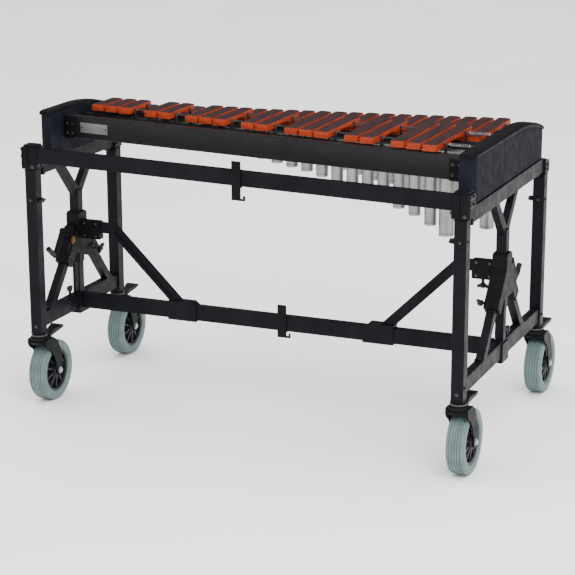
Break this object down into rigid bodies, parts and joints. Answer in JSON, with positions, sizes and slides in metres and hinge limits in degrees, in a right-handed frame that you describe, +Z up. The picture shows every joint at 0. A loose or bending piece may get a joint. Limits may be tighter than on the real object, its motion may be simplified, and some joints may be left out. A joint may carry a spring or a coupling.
{
  "type": "xylophone",
  "caption": "Concert xylophone with raised accidental bars and tube resonators on a crank-lifted tubular field frame with large braked casters.",
  "frame": {"origin": "centre of the footprint of the four wheels' outer limits, on the floor", "axes": "+X along the instrument from high notes to low notes, +Y to the player, +Z up"},
  "size_m": [1.4306, 0.9434, 0.886],
  "materials": {
    "frame_black": "semi-matte black powder coat, slightly bluish",
    "cast_black": "matte black coated castings",
    "knob_plastic": "black moulded nylon",
    "board_black": "black semi-gloss laminate",
    "block_grey": "charcoal textured coating",
    "rail_wood": "black stained wood with steel posts",
    "resonator_aluminium": "satin silver tube",
    "rosewood": "oiled red-brown hardwood, brighter orange on the sawn ends and sides",
    "tyre_grey": "grey-green solid rubber with ribs"
  },
  "bodies": {
    "lower_frame": {"spreader_bar": "frame_black", "lower_cover_hook": "cast_black", "left_low_end_rail": "frame_black", "left_column_frame": "frame_black", "left_gearbox": "cast_black", "left_diagonal_brace": "frame_black", "right_low_end_rail": "frame_black", "right_column_frame": "frame_black", "right_gearbox": "cast_black", "right_diagonal_brace": "frame_black", "left_front_leg": "frame_black", "left_rear_leg": "frame_black", "right_front_leg": "frame_black", "right_rear_leg": "frame_black"},
    "deck": {"front_rail": "frame_black", "upper_cover_hook": "cast_black", "left_end_block": "block_grey", "right_end_block": "block_grey", "front_board": "board_black", "rear_board": "board_black", "left_yoke": "frame_black", "left_end_rail": "frame_black", "left_corner_clamp": "cast_black", "right_yoke": "frame_black", "right_end_rail": "frame_black", "right_corner_clamp": "cast_black", "left_front_leg_slider": "frame_black", "left_rear_leg_slider": "frame_black", "right_front_leg_slider": "frame_black", "right_rear_leg_slider": "frame_black", "natural_front_post_rail": "rail_wood", "natural_rear_post_rail": "rail_wood", "natural_resonators": "resonator_aluminium", "natural_bars": "rosewood", "accidental_front_post_rail": "rail_wood", "accidental_rear_post_rail": "rail_wood", "accidental_resonators": "resonator_aluminium", "accidental_bars": "rosewood"},
    "left_crank": {"left_crank": "cast_black"},
    "left_crank_grip": {"left_crank_grip": "knob_plastic"},
    "left_brace_knob": {"left_brace_knob": "knob_plastic"},
    "right_crank": {"right_crank": "cast_black"},
    "right_crank_grip": {"right_crank_grip": "knob_plastic"},
    "right_brace_knob": {"right_brace_knob": "knob_plastic"},
    "left_front_leg_knob": {"left_front_leg_knob": "knob_plastic"},
    "left_front_caster": {"left_front_caster_fork": "cast_black"},
    "left_front_wheel": {"left_front_caster_wheel": "tyre_grey"},
    "left_front_pedal": {"left_front_brake_pedal": "cast_black"},
    "left_rear_leg_knob": {"left_rear_leg_knob": "knob_plastic"},
    "left_rear_caster": {"left_rear_caster_fork": "cast_black"},
    "left_rear_wheel": {"left_rear_caster_wheel": "tyre_grey"},
    "left_rear_pedal": {"left_rear_brake_pedal": "cast_black"},
    "right_front_leg_knob": {"right_front_leg_knob": "knob_plastic"},
    "right_front_caster": {"right_front_caster_fork": "cast_black"},
    "right_front_wheel": {"right_front_caster_wheel": "tyre_grey"},
    "right_front_pedal": {"right_front_brake_pedal": "cast_black"},
    "right_rear_leg_knob": {"right_rear_leg_knob": "knob_plastic"},
    "right_rear_caster": {"right_rear_caster_fork": "cast_black"},
    "right_rear_wheel": {"right_rear_caster_wheel": "tyre_grey"},
    "right_rear_pedal": {"right_rear_brake_pedal": "cast_black"}
  },
  "joints": [
    {"name": "deck_lift", "type": "slide", "parent": "lower_frame", "child": "deck", "axis": [0, 0, 1], "range_m": [0, 0.14]},
    {"name": "left_crank_turn", "type": "hinge", "parent": "lower_frame", "child": "left_crank", "pos_m": [-0.67785, -0.14478, 0.49621], "axis": [0, -0.7695, 0.6387], "range_deg": [0, 1340]},
    {"name": "left_grip_spin", "type": "hinge", "parent": "left_crank", "child": "left_crank_grip", "pos_m": [-0.67785, -0.22151, 0.45074], "axis": [0, -0.7695, 0.6387], "continuous": true},
    {"name": "left_brace_knob_turn", "type": "hinge", "parent": "lower_frame", "child": "left_brace_knob", "pos_m": [-0.62285, -0.06, 0.445], "axis": [0, 0, 1], "range_deg": [0, 360]},
    {"name": "right_crank_turn", "type": "hinge", "parent": "lower_frame", "child": "right_crank", "pos_m": [0.67785, 0.02478, 0.49621], "axis": [0, 0.7695, 0.6387], "range_deg": [0, 1340]},
    {"name": "right_grip_spin", "type": "hinge", "parent": "right_crank", "child": "right_crank_grip", "pos_m": [0.67785, 0.10151, 0.45074], "axis": [0, 0.7695, 0.6387], "continuous": true},
    {"name": "right_brace_knob_turn", "type": "hinge", "parent": "lower_frame", "child": "right_brace_knob", "pos_m": [0.62285, -0.06, 0.445], "axis": [0, 0, 1], "range_deg": [0, 360]},
    {"name": "left_front_leg_knob_turn", "type": "hinge", "parent": "lower_frame", "child": "left_front_leg_knob", "pos_m": [-0.66005, -0.3102, 0.632], "axis": [1, 0, 0], "range_deg": [0, 360]},
    {"name": "left_front_swivel", "type": "hinge", "parent": "lower_frame", "child": "left_front_caster", "pos_m": [-0.67785, -0.3102, 0.2], "axis": [0, 0, 1], "continuous": true},
    {"name": "left_front_wheel_spin", "type": "hinge", "parent": "left_front_caster", "child": "left_front_wheel", "pos_m": [-0.67785, -0.2502, 0.092], "axis": [1, 0, 0], "continuous": true},
    {"name": "left_front_brake_press", "type": "hinge", "parent": "left_front_caster", "child": "left_front_pedal", "pos_m": [-0.67785, -0.2642, 0.199], "axis": [-1, 0, 0], "range_deg": [0, 12]},
    {"name": "left_rear_leg_knob_turn", "type": "hinge", "parent": "lower_frame", "child": "left_rear_leg_knob", "pos_m": [-0.66005, 0.1902, 0.632], "axis": [1, 0, 0], "range_deg": [0, 360]},
    {"name": "left_rear_swivel", "type": "hinge", "parent": "lower_frame", "child": "left_rear_caster", "pos_m": [-0.67785, 0.1902, 0.2], "axis": [0, 0, 1], "continuous": true},
    {"name": "left_rear_wheel_spin", "type": "hinge", "parent": "left_rear_caster", "child": "left_rear_wheel", "pos_m": [-0.67785, 0.2502, 0.092], "axis": [1, 0, 0], "continuous": true},
    {"name": "left_rear_brake_press", "type": "hinge", "parent": "left_rear_caster", "child": "left_rear_pedal", "pos_m": [-0.67785, 0.2362, 0.199], "axis": [-1, 0, 0], "range_deg": [0, 12]},
    {"name": "right_front_leg_knob_turn", "type": "hinge", "parent": "lower_frame", "child": "right_front_leg_knob", "pos_m": [0.66005, -0.4397, 0.662], "axis": [-1, 0, 0], "range_deg": [0, 360]},
    {"name": "right_front_swivel", "type": "hinge", "parent": "lower_frame", "child": "right_front_caster", "pos_m": [0.67785, -0.4397, 0.2], "axis": [0, 0, 1], "continuous": true},
    {"name": "right_front_wheel_spin", "type": "hinge", "parent": "right_front_caster", "child": "right_front_wheel", "pos_m": [0.67785, -0.3797, 0.092], "axis": [1, 0, 0], "continuous": true},
    {"name": "right_front_brake_press", "type": "hinge", "parent": "right_front_caster", "child": "right_front_pedal", "pos_m": [0.67785, -0.3937, 0.199], "axis": [-1, 0, 0], "range_deg": [0, 12]},
    {"name": "right_rear_leg_knob_turn", "type": "hinge", "parent": "lower_frame", "child": "right_rear_leg_knob", "pos_m": [0.66005, 0.3197, 0.617], "axis": [-1, 0, 0], "range_deg": [0, 360]},
    {"name": "right_rear_swivel", "type": "hinge", "parent": "lower_frame", "child": "right_rear_caster", "pos_m": [0.67785, 0.3197, 0.2], "axis": [0, 0, 1], "continuous": true},
    {"name": "right_rear_wheel_spin", "type": "hinge", "parent": "right_rear_caster", "child": "right_rear_wheel", "pos_m": [0.67785, 0.3797, 0.092], "axis": [1, 0, 0], "continuous": true},
    {"name": "right_rear_brake_press", "type": "hinge", "parent": "right_rear_caster", "child": "right_rear_pedal", "pos_m": [0.67785, 0.3657, 0.199], "axis": [-1, 0, 0], "range_deg": [0, 12]}
  ],
  "couplings": [
    {"joint": "left_crank_turn", "follows": "deck_lift", "rad_per_m": 166.67},
    {"joint": "right_crank_turn", "follows": "deck_lift", "rad_per_m": 166.67}
  ]
}
